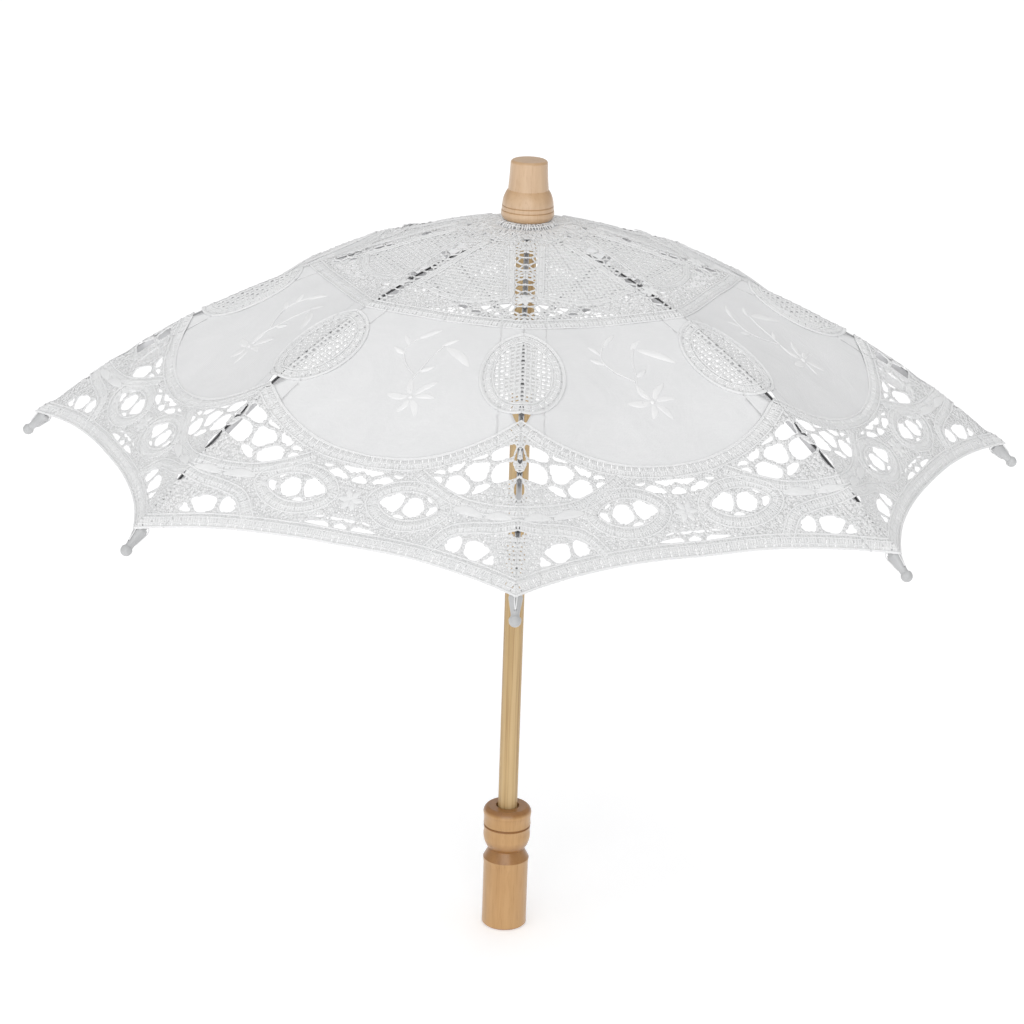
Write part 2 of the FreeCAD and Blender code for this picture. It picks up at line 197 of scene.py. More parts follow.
def turned_wood(name, deep, mid, light, up_down_shade_tint, gloss):
    """Turned hardwood: faint straight grain, soft clouding, fine pores, and painted shade: a deeper tone
    where the surface faces up and down.
    """
    p = Paint(name, Specular_IOR_Level=0.5, Coat_Weight=gloss, Coat_Roughness=0.24)
    grain = p.noise(p.where((1, 1, 0.05)), 380, 3, 0.55)
    cloud = p.noise(p.where((1, 1, 0.35)), 55, 3, 0.5, 0.3)
    pores = p.noise(p.where((1, 1, 0.06)), 1700, 3, 0.6)
    base = p.ramp(p.mixed(grain, 0.4, cloud), [(0.34, deep), (0.5, mid), (0.66, light)])
    specks = p.ramp(pores, [(0.32, (0.84, 0.79, 0.73)), (0.45, (1, 1, 1)), (1.0, (1.02, 1.02, 1.01))])
    # Painted shade: the colour deepens where the surface faces straight up and down, on the tops and the
    # undersides.
    normal = p.node("SeparateXYZ", Vector=p.node("TexCoord").outputs["Normal"])
    painted_shade_facing = p.math("ABSOLUTE", normal.outputs["Z"], 0.0)
    ends = p.ramp(painted_shade_facing, [(0.12, (1, 1, 1)), (0.55, up_down_shade_tint)])
    p.finish(p.mix(1.0, p.mix(0.6, base, specks, "MULTIPLY"), ends, "MULTIPLY"), p.span(cloud, 0.28, 0.40))
    p.bump(pores, 0.00003)
    return p.material


def steel(name, tone, low, high):
    """Drawn bright steel: fine lines along the part, slight dulling and darker in patches."""
    p = Paint(name, Metallic=1.0)
    lines = p.noise(p.where(), 2600, 2, 0.6)
    patches = p.noise(p.where(), 120, 4, 0.6)
    dark = tuple(0.62 * c for c in tone)
    p.finish(p.ramp(patches, [(0.3, dark), (0.62, tone)]), p.span(p.mixed(lines, 0.4, patches), low, high))
    p.bump(lines, 0.00001)
    return p.material


def plastic(name, tone, rough):
    """Moulded plastic with a slight orange-peel skin and faint cloudiness."""
    p = Paint(name, Specular_IOR_Level=0.5)
    cloud = p.noise(p.where(), 160, 3, 0.5)
    deep = tuple(0.86 * c for c in tone)
    p.finish(p.ramp(cloud, [(0.3, deep), (0.7, tone)]), p.span(cloud, rough, rough + 0.14))
    p.bump(p.noise(p.where(), 1400, 2, 0.5), 0.00002)
    return p.material


def cotton_thread(name, low, high, sheen):
    """Twisted thread: fine oblique plies with uneven whiteness."""
    p = Paint(name, Sheen_Weight=sheen, Sheen_Roughness=0.5, Specular_IOR_Level=0.25)
    plies = p.wave(p.where(), 900, "DIAGONAL", 3.0, 2.0, 2.0)
    fluff = p.noise(p.where(), 2600, 3, 0.65)
    cloud = p.noise(p.where(), 90, 3, 0.6)
    p.finish(p.ramp(p.mixed(cloud, 0.7, plies), [(0.25, low), (0.75, high)]), p.span(fluff, 0.62, 0.92))
    p.bump(p.math("ADD", plies, fluff), 0.00008, 0.8)
    return p.material


def fine_cloth():
    """Thin plain-woven cotton: crossing threads at their real pitch, slubs and faint creases."""
    p = Paint("lawn_cloth", Sheen_Weight=0.12, Sheen_Roughness=0.6, Specular_IOR_Level=0.2)
    warp = p.wave(p.on_cloth(), 520, "X", 0.7, 1.0, 40.0)
    weft = p.wave(p.on_cloth(), 520, "Y", 0.7, 1.0, 40.0)
    slubs = p.noise(p.on_cloth((6, 0.5, 1)), 420, 2, 0.5)
    creases = p.noise(p.on_cloth(), 42, 4, 0.62, 1.6)
    shades = [(0.3, (0.76, 0.765, 0.77)), (0.7, (0.81, 0.81, 0.815))]
    p.finish(p.ramp(p.mixed(creases, 0.6, slubs), shades), p.span(slubs, 0.78, 0.95))
    weave = p.math("MULTIPLY", p.math("ADD", warp, weft), 0.10)
    p.bump(p.math("ADD", weave, p.math("MULTIPLY", creases, 1.6)), 0.0006, 0.5)
    return p.material


def satin_thread():
    """Rayon satin stitch: bright, with sheen across the stitches."""
    p = Paint("satin_thread", Sheen_Weight=0.5, Sheen_Roughness=0.35, Specular_IOR_Level=0.5)
    stitches = p.noise(p.where(), 3000, 2, 0.5)
    cloud = p.noise(p.where(), 120, 2, 0.5)
    shades = [(0.3, (0.83, 0.83, 0.835)), (0.7, (0.88, 0.88, 0.88))]
    p.finish(p.ramp(cloud, shades), p.span(stitches, 0.34, 0.55))
    p.bump(stitches, 0.00005, 0.6)
    return p.material


PAINTS = {
    "shaft_wood": bamboo(),
    # The fifth value of each turned wood is the tint of its painted shade on faces turned up and down.
    "handle_wood": turned_wood("honey_wood", (0.440, 0.240, 0.088), (0.500, 0.284, 0.112),
                               (0.550, 0.324, 0.136), (0.62, 0.50, 0.36), 0.30),
    "finial_wood": turned_wood("pale_wood", (0.564, 0.381, 0.235), (0.630, 0.437, 0.277),
                               (0.677, 0.484, 0.315), (0.86, 0.80, 0.70), 0.20),
    "white_plastic": plastic("white_plastic", (0.80, 0.80, 0.79), 0.30),
    "tip_plastic": plastic("tip_plastic", (0.52, 0.525, 0.53), 0.28),
    "fluted_steel": steel("fluted_steel", (0.60, 0.60, 0.61), 0.36, 0.52),
    "steel_wire": steel("steel_wire", (0.60, 0.60, 0.61), 0.28, 0.42),
    "stiffened_lace": cotton_thread("stiffened_lace", (0.66, 0.66, 0.68), (0.74, 0.74, 0.75), 0.1),
}
THREAD = cotton_thread("lace_thread", (0.81, 0.815, 0.82), (0.88, 0.88, 0.88), 0.15)
CLOTH = fine_cloth()
SATIN = satin_thread()


def paint_nodes():
    """Every shown CAD node takes the material made for its slot."""
    for part in frame["record"]["subparts"]:
        node, paint = frame["nodes"].get(part["node"]), PAINTS.get(part["material_slot"])
        if node and paint:
            node.data.materials.clear()
            node.data.materials.append(paint)


paint_nodes()


# ---- camera, light and floor


def looking(name, data, direction, location=(0, 0, 0), roll=0.0):
    """A camera or a light at a place, turned to look along a direction."""
    looker = bpy.data.objects.new(name, data)
    looker.location = location
    looker.rotation_mode = "QUATERNION"
    looker.rotation_quaternion = Vector(direction).to_track_quat("-Z", "Y") @ Quaternion((0, 0, 1), roll)
    bpy.context.scene.collection.objects.link(looker)
    return looker


def make_camera():
    ahead = Vector((0.0, math.cos(CAMERA_ELEVATION), -math.sin(CAMERA_ELEVATION)))
    data = bpy.data.cameras.new("camera")
    data.sensor_width = 36.0
    data.lens = CAMERA_LENS
    data.clip_start = 0.05
    data.clip_end = 50.0
    location = Vector(CAMERA_AIM) - ahead * CAMERA_DISTANCE
    bpy.context.scene.camera = looking("camera", data, ahead, location, CAMERA_ROLL)


def area_light(name, location, aim, size, watts):
    data = bpy.data.lights.new(name, "AREA")
    data.energy = watts
    data.shape = "RECTANGLE"
    data.size, data.size_y = size
    looking(name, data, Vector(aim) - Vector(location), location)


def broad_light(name, direction, strength, spread):
    """Parallel light, which gives the whole floor one tone; a wide spread softens its shadows."""
    data = bpy.data.lights.new(name, "SUN")
    data.energy = strength
    data.angle = math.radians(spread)
    looking(name, data, direction)


def make_studio():
    scene = bpy.context.scene
    scene.view_settings.view_transform = "Standard"
    world = bpy.data.worlds.new("studio")
    world.use_nodes = True
    background = world.node_tree.nodes["Background"]
    background.inputs["Color"].default_value = (1.0, 1.0, 1.0, 1.0)
    background.inputs["Strength"].default_value = 0.50
    scene.world = world
    broad_light("front", (0.05, 0.94, -0.335), 1.10, 50.0)
    broad_light("top", (0.10, 0.15, -1.0), 0.56, 60.0)
    area_light("key", (-1.3, -1.2, 1.7), (0, 0, 0.25), (0.9, 1.3), 4.0)
    area_light("back", (0.3, 1.6, 1.5), (0, 0, 0.3), (1.4, 0.9), 3.0)
    mesh = bpy.data.meshes.new("floor")
    corners = [(x * FLOOR_REACH, y * FLOOR_REACH, 0) for x, y in ((-1, -1), (1, -1), (1, 1), (-1, 1))]
    mesh.from_pydata(corners, [], [(0, 1, 2, 3)])
    floor = bpy.data.objects.new("floor", mesh)
    scene.collection.objects.link(floor)
    paint = Paint("floor_paint", Base_Color=(0.90, 0.90, 0.905, 1), Roughness=0.9,
                  Emission_Color=(1, 1, 1, 1), Emission_Strength=0.33)
    mesh.materials.append(paint.material)


make_camera()
make_studio()


# ---- the gore's surface


def make_profile():
    """The gore's middle line: s, radius along the middle, height and the slope of the normal."""
    turn = np.linspace(math.radians(6.0), END_TURN + 0.01, 600)
    reach = RIB_ARC + LACE_RISE
    x = (ARC_X + reach * np.sin(turn)) * math.cos(HALF_STEP)
    z = ARC_Z + reach * np.cos(turn)
    s = np.concatenate([[0], np.cumsum(np.hypot(np.diff(x), np.diff(z)))])
    s -= np.interp(6.0, x, s)
    slope = np.arctan2(-np.gradient(z, s), np.gradient(x, s))
    return s, x, z, slope


PROFILE_S, PROFILE_X, PROFILE_Z, PROFILE_SLOPE = make_profile()


def rib_line(s):
    """How far the rib is from the gore's middle, at s along the middle."""
    return np.interp(s, PROFILE_S, PROFILE_X) * math.tan(HALF_STEP)


def rib_azimuth(rib):
    """The direction of a rib, numbered from 1, and of the first edge of the gore with the same number."""
    return FIRST_RIB + 2 * HALF_STEP * (rib - 1)


def swung(x, y, z, azimuth):
    """Points beside the plane of y = 0, swung with it about the shaft."""
    ca, sa = math.cos(azimuth), math.sin(azimuth)
    return np.column_stack([x * ca - y * sa, x * sa + y * ca, z])


def place(flat, gore):
    """Points (s, y, height) of the flat gore, in the place of gore number 1 to 8, in metres."""
    s, y, height = flat[:, 0], flat[:, 1], flat[:, 2]
    width = np.maximum(rib_line(s), 1.0)
    across = np.clip(np.abs(y) / width, 0, 1)
    free = 1 - across**2
    phase = 1.7 * gore
    sag = -SAG * free * np.clip((s - 40) / 110, 0, 1)
    puff = 1.9 * np.clip((52 - s) / 26, 0, 1) * np.clip((s - 1) / 9, 0.3, 1)
    ripple = 0.35 * np.sin(s / 17 + phase) * np.cos(y / 13 - 2 * phase)
    ripple += 0.22 * np.sin(y / 7.5 + s / 24 + phase)
    pleats = 0.28 * np.cos(y / width * 15) * np.clip((34 - s) / 20, 0, 1)
    over_cap = 1.6 * np.clip((s - 210) / 5, 0, 1) * across**6
    lift = height + sag + puff + ripple * free * np.clip(s / 60, 0, 1) + pleats + over_cap
    slope = np.interp(s, PROFILE_S, PROFILE_SLOPE)
    middle_x = np.interp(s, PROFILE_S, PROFILE_X)
    x = middle_x + lift * np.sin(slope)
    z = np.interp(s, PROFILE_S, PROFILE_Z) + lift * np.cos(slope)
    return swung(x, y * x / middle_x, z, rib_azimuth(gore) + HALF_STEP) * MM


# ---- building cloth and thread


class Work:
    """Closed meshes gathered in flat gore coordinates, each face with the number of its finish."""

    def __init__(self):
        self.points, self.faces, self.finishes = [], [], []
        self.count = 0

    def add(self, points, faces, finish, flat_faces=0):
        """The last flat_faces faces are shaded flat: the ends and rims of a piece."""
        marks = np.full(len(faces), finish)
        if flat_faces:
            marks[-flat_faces:] += FLAT
        self.points.append(points)
        self.faces.append(faces + self.count)
        self.finishes.append(marks)
        self.count += len(points)

    def arrays(self):
        return [np.concatenate(rows) for rows in (self.points, self.faces, self.finishes)]


THREAD_FINISH, CLOTH_FINISH, SATIN_FINISH = 0, 1, 2
FLAT = 10
TAPE_HEIGHT = 0.25


def even(line, step):
    """The same line in even steps."""
    along = np.concatenate([[0], np.cumsum(np.hypot(*np.diff(line[:, :2], axis=0).T))])
    count = max(2, int(round(along[-1] / step)) + 1)
    at = np.linspace(0, along[-1], count)
    return np.column_stack([np.interp(at, along, line[:, i]) for i in range(line.shape[1])])


def spline(guides, count, closed=False):
    """Points along a smooth curve through the guide points, that many for each stretch of it."""
    g = np.array(guides, float)
    g = np.vstack([g[-1], g, g[0], g[1]] if closed else [2 * g[0] - g[1], g, 2 * g[-1] - g[-2]])
    t = np.linspace(0, 1, count, endpoint=False)[:, None]
    runs = []
    for a, b, c, d in zip(g[:-3], g[1:-2], g[2:-1], g[3:]):
        bend, twist = 2 * a - 5 * b + 4 * c - d, 3 * b - a - 3 * c + d
        runs.append(0.5 * (2 * b + (c - a) * t + bend * t**2 + twist * t**3))
    return np.vstack(runs + [g[-2:-1]])


def smooth(guides, step, closed=False):
    """A smooth line in even steps through the guide points; a closed one doesn't repeat its first point."""
    line = even(spline(guides, 16, closed), step)
    return line[:-1] if closed else line


def sides_of(line, closed=False):
    """The unit vector across a line, at each of its points."""
    if closed:
        along = np.roll(line[:, :2], -1, axis=0) - np.roll(line[:, :2], 1, axis=0)
    else:
        along = np.gradient(line[:, :2], axis=0)
    along /= np.maximum(np.hypot(*along.T), 1e-9)[:, None]
    return np.column_stack([-along[:, 1], along[:, 0]])


def offset(line, distance, closed=False):
    """A line beside this one."""
    moved = line.copy()
    moved[:, :2] += sides_of(line, closed) * distance
    return moved


def grid(rows, columns, closed_rows=False, closed_columns=True):
    """The quads between rows of points, row by row; the rows and the columns may close on themselves."""
    i = np.arange(rows if closed_rows else rows - 1)[:, None]
    j = np.arange(columns if closed_columns else columns - 1)[None, :]
    below, beside = (i + 1) % rows * columns, (j + 1) % columns
    return np.stack([i * columns + j, below + j, below + beside, i * columns + beside], axis=2)


def end_caps(rows, sides):
    """The quads that close both ends of a tube with an even number of sides."""
    caps = []
    for first in range(1, sides - 2, 2):
        cap = [0, first, first + 1, first + 2]
        caps += [cap, [(rows - 1) * sides + v for v in reversed(cap)]]
    return caps


def sweep(work, line, half_width, half_thick, finish=THREAD_FINISH, height=0.0, sides=4, closed=False):
    """A closed tube with an oval section along a flat line; widths and height may change along it."""
    n = len(line)
    across = sides_of(line, closed)
    wide, thick, up = (np.broadcast_to(value, n) for value in (half_width, half_thick, height))
    angles = 2 * math.pi * (np.arange(sides) + 0.5) / sides
    scale = 1 / math.cos(math.pi / sides) if sides == 4 else 1.0
    c, s = np.cos(angles) * scale, np.sin(angles) * scale
    flat = line[:, None, :2] + across[:, None, :] * (wide[:, None] * c)[:, :, None]
    top = up[:, None] + thick[:, None] * s
    points = np.concatenate([flat, top[:, :, None]], axis=2).reshape(-1, 3)
    faces = grid(n, sides, closed).reshape(-1, 4)
    if closed:
        work.add(points, faces, finish)
    else:
        ends = end_caps(n, sides)
        work.add(points, np.vstack([faces, ends]), finish, len(ends))


def spans(region, origin, direction):
    """Where a line is inside a region: a list of outlines, in which a hole is an outline too."""
    a = np.vstack(region) - origin
    b = np.vstack([np.roll(outline, -1, axis=0) for outline in region]) - origin
    normal = np.array([-direction[1], direction[0]])
    da, db = a @ normal, b @ normal
    hit = (da > 0) != (db > 0)
    t = da[hit] / (da[hit] - db[hit])
    return np.sort((a[hit] + t[:, None] * (b[hit] - a[hit])) @ direction).reshape(-1, 2)


def net(work, region, angle, pitch, width, thick, weave, start=(0.0, 0.0)):
    """Parallel flat threads over a region, which swell and rise where they cross the other set."""
    direction = np.array([math.cos(angle), math.sin(angle)])
    normal = np.array([-direction[1], direction[0]])
    levels = (np.vstack(region) - start) @ normal
    for number in range(int(levels.min() // pitch), int(levels.max() // pitch) + 2):
        origin = np.array(start) + normal * (number + 0.5) * pitch
        for low, high in spans(region, origin, direction):
            if high - low < 0.8:
                continue
            at = np.arange(math.ceil(low / weave * 2), math.floor(high / weave * 2) + 1) * weave / 2
            at = np.concatenate([[low], at[(at > low + 0.15) & (at < high - 0.15)], [high]])
            stray = 0.13 * np.sin(at * 0.9 + number * 2.1) + 0.10 * np.sin(at * 0.37 - number)
            line = origin + at[:, None] * direction + stray[:, None] * normal
            swell = 1 + 0.16 * np.cos(2 * math.pi * at / weave)
            over = (0.10 if number % 2 else -0.10) * np.cos(math.pi * at / weave)
            sweep(work, line, width / 2 * swell, thick / 2, height=over)


def tape(work, guides, width, closed=False, pitch=1.2, cords=(-1, 0, 1)):
    """A woven tape: close rungs across, a cord along each edge and finer ones between."""
    line = smooth(guides, 0.5, closed)
    across = sides_of(line, closed)
    reach = width / 2 - 0.25
    for number in range(int(0.5 * len(line) / pitch)):
        i = int((number + 0.5) * pitch / 0.5) % len(line)
        middle, side = line[i], across[i]
        along = np.array([side[1], -side[0]]) * 0.06 * math.sin(number * 2.39)
        rung_line = np.array([middle - side * reach + along, middle + along * 0.5,
                              middle + side * reach - along])
        lift = TAPE_HEIGHT + 0.05 * math.sin(number * 1.7)
        wide = 0.54 * pitch * (1 + 0.04 * math.sin(number * 3.1))
        sweep(work, rung_line, wide, 0.15, THREAD_FINISH, lift + np.array([0.0, 0.06, 0.0]), 6)
    coarse = line[::3] if closed else even(line, 1.5)
    twist = 1 + 0.14 * np.cos(np.arange(len(coarse)) * math.pi)
    for at in cords:
        edge = abs(at) == 1
        beside = offset(coarse, at * (width / 2 - (0.42 if edge else 0.0)), closed)
        half_width, half_thick, rise = (0.46, 0.30, 0.12) if edge else (0.30, 0.2, 0.22)
        sweep(work, beside, half_width * twist, half_thick, THREAD_FINISH, TAPE_HEIGHT + rise, 6, closed)


def cord_line(work, guides, radius, height, closed=False, finish=THREAD_FINISH, step=1.1):
    """A raised round cord sewn along a line."""
    line = smooth(guides, step, closed)
    twist = 1 + 0.12 * np.cos(np.arange(len(line)) * math.pi)
    sweep(work, line, radius * twist, radius * 0.85 * twist, finish, height, 6, closed)


def leaf(work, start, tip, width, bend=0.0, height=0.55, base=0.12, finish=SATIN_FINISH, split=False):
    """A satin-stitched leaf: a domed pad of close stitches that run across it."""
    start, tip = np.array(start, float), np.array(tip, float)
    length = np.hypot(*(tip - start))
    rows = max(8, int(length / 0.34))
    t = np.linspace(0, 1, rows)
    ahead = (tip - start) / length
    side = np.array([-ahead[1], ahead[0]])
    middle = start + ahead * (t * length)[:, None] + side * (bend * np.sin(math.pi * t))[:, None]
    half = width / 2 * np.sin(math.pi * np.clip(t * 0.94 + 0.03, 0, 1)) ** 0.75
    across = np.array([-1.0, -0.86, -0.5, 0.0, 0.5, 0.86, 1.0])
    dome = np.sqrt(1 - (across * 0.98) ** 2)
    if split:
        dome = dome * np.array([1, 1, 1, 0.55, 1, 1, 1])
    stitch = 0.06 * np.cos(np.arange(rows) * math.pi)
    flat = middle[:, None, :] + side * (half[:, None] * across)[:, :, None]
    flat += ahead * (-0.35 * half[:, None] * np.abs(across))[:, :, None]
    top = base + (height * (half / (width / 2))[:, None] + stitch[:, None]) * dome
    upper = np.concatenate([flat, top[:, :, None]], axis=2)
    under = np.concatenate([flat[:, ::6], np.full((rows, 2, 1), base - 0.1)], axis=2)[:, ::-1]
    ring = np.concatenate([upper, under], axis=1)
    m = ring.shape[1]
    faces = grid(rows, m)
    shaded, hidden = faces[:, :6].reshape(-1, 4), faces[:, 6:].reshape(-1, 4)
    ends = []
    for first in (0, (rows - 1) * m):
        for ring_quad in ((0, 1, 7, 8), (1, 2, 6, 7), (2, 3, 5, 6), (3, 4, 5, 5)):
            quad = [first + v for v in ring_quad]
            ends.append(quad if first == 0 or ring_quad[2] == ring_quad[3] else quad[::-1])
    work.add(ring.reshape(-1, 3), np.vstack([shaded, hidden, ends]), finish, len(hidden) + len(ends))


def voronoi(corners, spacing, seed):
    """Uneven cells over a box: their seeds, their corners, and the three cells that meet at each corner."""
    rng = np.random.default_rng(seed)
    low, high = corners.min(axis=0) - 2 * spacing, corners.max(axis=0) + 2 * spacing
    seeds = []
    for row, s in enumerate(np.arange(low[0], high[0], spacing * 0.87)):
        for y in np.arange(low[1] + (row % 2) * spacing / 2, high[1], spacing):
            moved = [value + rng.uniform(-0.27, 0.27) * spacing for value in (s, y)]
            seeds.append(Vector(moved))
    found, _, triangles, _, _, _ = delaunay_2d_cdt(seeds, [], [], 0, 1e-6)
    found = np.array([tuple(p) for p in found])
    triangles = np.array([tuple(t) for t in triangles])
    a, b, c = (found[triangles[:, i]] for i in range(3))
    aa, bb, cc = ((p**2).sum(axis=1) for p in (a, b, c))
    d = 2 * (a[:, 0] * (b[:, 1] - c[:, 1]) + b[:, 0] * (c[:, 1] - a[:, 1]) + c[:, 0] * (a[:, 1] - b[:, 1]))
    centres = np.column_stack([
        (aa * (b[:, 1] - c[:, 1]) + bb * (c[:, 1] - a[:, 1]) + cc * (a[:, 1] - b[:, 1])) / d,
        (aa * (c[:, 0] - b[:, 0]) + bb * (a[:, 0] - c[:, 0]) + cc * (b[:, 0] - a[:, 0])) / d,
    ])
    return found, centres, triangles


def voronoi_sides(region, spacing, seed):
    _, centres, triangles = voronoi(np.vstack(region), spacing, seed)
    owners = {}
    for number, triangle in enumerate(triangles):
        for pair in (triangle[:2], triangle[1:], triangle[::2]):
            owners.setdefault(tuple(sorted(pair)), []).append(number)
    return [(centres[o[0]], centres[o[1]]) for _, o in sorted(owners.items()) if len(o) == 2]


def clipped(outline, corners):
    """The part of an outline inside a convex polygon, whose corners run counter-clockwise."""
    for a, b in zip(corners, np.roll(corners, -1, axis=0)):
        side = (outline - a) @ np.array([a[1] - b[1], b[0] - a[0]])
        kept = []
        for p, q, here, there in zip(outline, np.roll(outline, -1, axis=0), side, np.roll(side, -1)):
            if here >= 0:
                kept.append(p)
            if (here >= 0) != (there >= 0):
                kept.append(p + (q - p) * here / (here - there))
        if len(kept) < 3:
            return None
        outline = np.array(kept)
    return outline


def eased(outline, cut):
    """An outline with its corners cut off."""
    after = np.roll(outline, -1, axis=0)
    ends = [outline * (1 - cut) + after * cut, outline * cut + after * (1 - cut)]
    return np.stack(ends, axis=1).reshape(-1, 2)


def cells(guides, spacing, seed, gap, smallest=7.0):
    """The open cells of an outline: uneven pieces of it, parted by the gap and with eased corners."""
    outline = np.array(guides, float)
    seeds, centres, triangles = voronoi(outline, spacing, seed)
    found = []
    for number, seed_point in enumerate(seeds):
        corners = centres[(triangles == number).any(axis=1)]
        if len(corners) < 3:
            continue
        corners = corners[np.argsort(np.arctan2(*(corners - seed_point).T[::-1]))]
        reach = np.hypot(*(corners - seed_point).T).mean()
        corners = seed_point + (corners - seed_point) * (1 - 0.58 * gap / reach)
        piece = clipped(outline, corners)
        if piece is None:
            continue
        after = np.roll(piece, -1, axis=0)
        area = abs((piece[:, 0] * after[:, 1] - piece[:, 1] * after[:, 0]).sum()) / 2
        if area > smallest:
            found.append(eased(eased(piece, 0.2), 0.25))
    return found


def bars(work, region, spacing, seed, width, thick, step):
    """Twisted bars that part a region into uneven open cells."""
    rng = np.random.default_rng(seed + 1)
    for a, b in voronoi_sides(region, spacing, seed):
        length = np.hypot(*(b - a))
        if length < 0.12 * spacing or length > 3 * spacing:
            continue
        direction = (b - a) / length
        for start, end in spans(region, a, direction):
            start, end = max(start, -0.1 * width), min(end, length + 0.1 * width)
            if end - start < 0.12 * spacing:
                continue
            count = max(2, int((end - start) / step) + 1)
            at = np.linspace(start, end, count)
            bow = 0.045 * spacing * np.sin(math.pi * (at - start) / (end - start)) * rng.uniform(-1, 1)
            line = a + at[:, None] * direction + bow[:, None] * np.array([-direction[1], direction[0]])
            swell = 1 + 0.18 * np.cos(np.arange(count) * math.pi) * (count > 2)
            for end_distance in (at - start, end - at):
                swell = swell + 0.25 * np.exp(-((end_distance / 0.8) ** 2))
            lift = 0.1 + rng.uniform(-0.05, 0.05)
            sweep(work, line, width / 2 * swell, thick * swell, height=lift)


# ---- the pattern of half a gore


def hem_edge(y):
    """The lower edge of the gore."""
    return HEM_MIDDLE + HEM_DROP * (abs(y) / HEM_CORNER_Y) ** HEM_POWER


def on_rib(s, inside=0.0):
    """The point of the rib line at s, or that far inside it."""
    lean = float(rib_line(s + 1) - rib_line(s - 1)) / 2
    size = math.hypot(1, lean)
    return (s + inside * lean / size, float(rib_line(s)) - inside / size)


def past_rib(first, last):
    """A line just past the rib line, between two places along it."""
    return [on_rib(s, PAST_RIB) for s in np.linspace(first, last, 24)]


def rib_frame(s):
    """The point of the rib line at s, the direction along it and the direction into the gore."""
    lean = float(rib_line(s + 10) - rib_line(s - 10)) / 20
    size = math.hypot(1, lean)
    return np.array(on_rib(s)), np.array([1, lean]) / size, np.array([lean, -1]) / size


def half_oval(s, long_half, wide_half, count=40, past=0.0):
    """Half an oval on the rib line, from its top to its bottom, ending that far past the line."""
    middle, along, inward = rib_frame(s)
    angle = np.linspace(math.pi, 0, count)
    curve = middle + np.outer(np.cos(angle) * long_half, along) + np.outer(np.sin(angle) * wide_half, inward)
    if past:
        curve = np.vstack([curve[0] - inward * past, curve, curve[-1] - inward * past])
    return curve


def roundel(inset, count=40, past=0.0):
    return half_oval(ROUNDEL_S, ROUNDEL_HALF[0] - inset, ROUNDEL_HALF[1] - inset, count, past)


MEDALLION_FOOT = [(139.5, 54.5), (143.5, 51.0), (149.0, 45.6), (155.5, 36.2), (160.5, 26.0),
                  (164.0, 14.0), (165.6, 0.0)]
MEDALLION_TOP = 83.4
MEDALLION_END = 165.55
CLOTH_HALF_THICKNESS = 0.14


def medallion(work):
    """The plain cloth in the middle of the gore: one closed thin slab for half the gore."""
    side = roundel(1.8)
    side = side[: int(np.argmax(side[:, 0]))]
    foot = smooth(MEDALLION_FOOT, 0.5)
    waist = np.linspace(MEDALLION_TOP, foot[0, 0], 40)[:-1]
    end = foot[0, 0] + (MEDALLION_END - foot[0, 0]) * np.sin(np.linspace(0, math.pi / 2, 20))
    rows = np.concatenate([waist, end])
    upper = np.interp(rows, np.concatenate([[MEDALLION_TOP], side[:, 0], [foot[0, 0]]]),
                      np.concatenate([[float(rib_line(MEDALLION_TOP))], side[:, 1], [foot[0, 1]]]))
    reach = np.where(rows < foot[0, 0], upper, np.interp(rows, foot[:, 0], foot[:, 1]))
    reach = np.minimum(np.maximum(reach, 0.15), rib_line(rows) + 0.6)
    columns = np.linspace(-0.04, 1, 26)
    s = np.repeat(rows, len(columns))
    y = (reach[:, None] * columns).ravel()
    crease = 0.16 * np.sin(s / 5.2 + y / 9) * np.sin(y / 11 + 1.0) + 0.12 * np.sin(s / 9 - y / 4.1)
    crease *= np.clip(y / 12, 0, 1)
    n, m = len(rows), len(columns)
    top = np.column_stack([s, y, CLOTH_HALF_THICKNESS + crease])
    low = np.column_stack([s, y, -CLOTH_HALF_THICKNESS + crease])
    upper_faces = grid(n, m, closed_columns=False).reshape(-1, 4)
    lower_faces = upper_faces[:, ::-1] + n * m
    rim = np.concatenate([np.arange(m), np.arange(1, n) * m + m - 1, (n - 1) * m + np.arange(m - 2, -1, -1),
                          np.arange(n - 2, 0, -1) * m])
    after = np.roll(rim, -1)
    edge = np.stack([rim, after, after + n * m, rim + n * m], axis=1)
    work.add(np.vstack([top, low]), np.vstack([upper_faces, lower_faces, edge]), CLOTH_FINISH, len(edge))


def eye(reach_s, reach_y, count=20):
    """A pointed oval beside the middle of the lower band."""
    angle = 2 * math.pi * np.arange(count) / count
    swell = np.copysign(np.abs(np.sin(angle)) ** 1.25, np.sin(angle))
    return np.column_stack([186.0 + reach_s * swell, 24.8 + reach_y * np.cos(angle)])


# Openings in the dense lace, each parted into a few cells. Those of RIB_OPENINGS lie across the rib line:
# place along it, half length, half width.
RIB_OPENINGS = ((20.6, 6.0, 4.4), (35.4, 7.6, 5.8), (55.0, 7.0, 6.6), (70.6, 6.4, 7.0),
                (157.0, 7.0, 2.6), (171.6, 5.8, 2.4), (191.0, 3.0, 2.8))
SIDE_OPENING = [(146.5, 63.5), (150.5, 56.0), (157.0, 47.0), (163.5, 36.5), (169.6, 26.0), (174.8, 33.5),
                (177.8, 42.0), (176.6, 51.5), (170.0, 58.5), (166.5, 66.0), (160.0, 64.5), (153.0, 63.8)]
TOP_OPENING = [(172.4, -19.0), (171.6, 0.0), (172.4, 19.0), (177.6, 16.0), (179.6, 0.0), (177.6, -16.0)]
LOW_OPENING = [(196.4, -9.5), (196.4, 9.5), (200.6, 21.5), (202.0, 8.0), (202.0, -8.0), (200.6, -21.5)]
CORNER_OPENING = [(196.4, 46.8), (195.8, 54.0), (198.0, 62.0), (201.6, 68.5), (207.6, 69.5),
                  (206.0, 58.0), (203.0, 46.0)]
